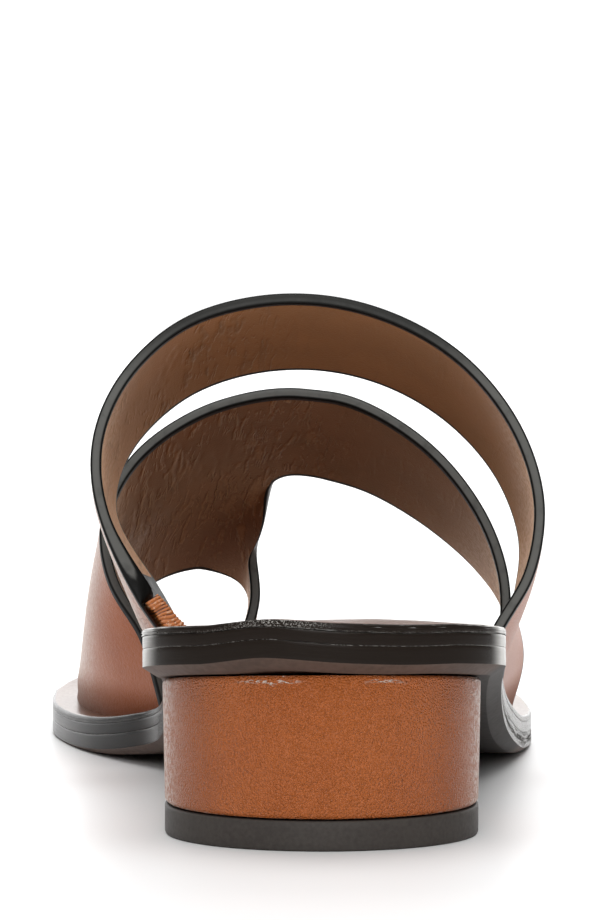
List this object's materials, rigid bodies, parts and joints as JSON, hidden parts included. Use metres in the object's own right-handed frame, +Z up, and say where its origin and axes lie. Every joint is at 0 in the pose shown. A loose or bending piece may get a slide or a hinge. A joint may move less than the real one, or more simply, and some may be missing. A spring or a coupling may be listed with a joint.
{
  "type": "slide sandal",
  "caption": "Leather slide sandal with a low block heel, a wide instep strap, and a wide toe strap that ends in a loop round the big toe.",
  "frame": {"origin": "middle of the shoe's footprint, on the floor it stands on", "axes": "+Y from the heel to the toe, +X toward the outer side of the foot, +Z up"},
  "size_m": [0.0892, 0.25, 0.0864],
  "materials": {
    "sole_leather": "black edge dressing, satin",
    "footbed_leather": "smooth brown",
    "upper_leather": "polished cognac with fine grain",
    "top_piece_rubber": "matte",
    "gore_elastic": "gathered"
  },
  "bodies": {
    "root": {"outsole": "sole_leather", "midsole": "sole_leather", "footbed": "footbed_leather", "heel_block": "upper_leather", "heel_top_piece": "top_piece_rubber", "instep_strap": "upper_leather", "toe_strap": "upper_leather", "elastic_gore": "gore_elastic"}
  },
  "joints": []
}
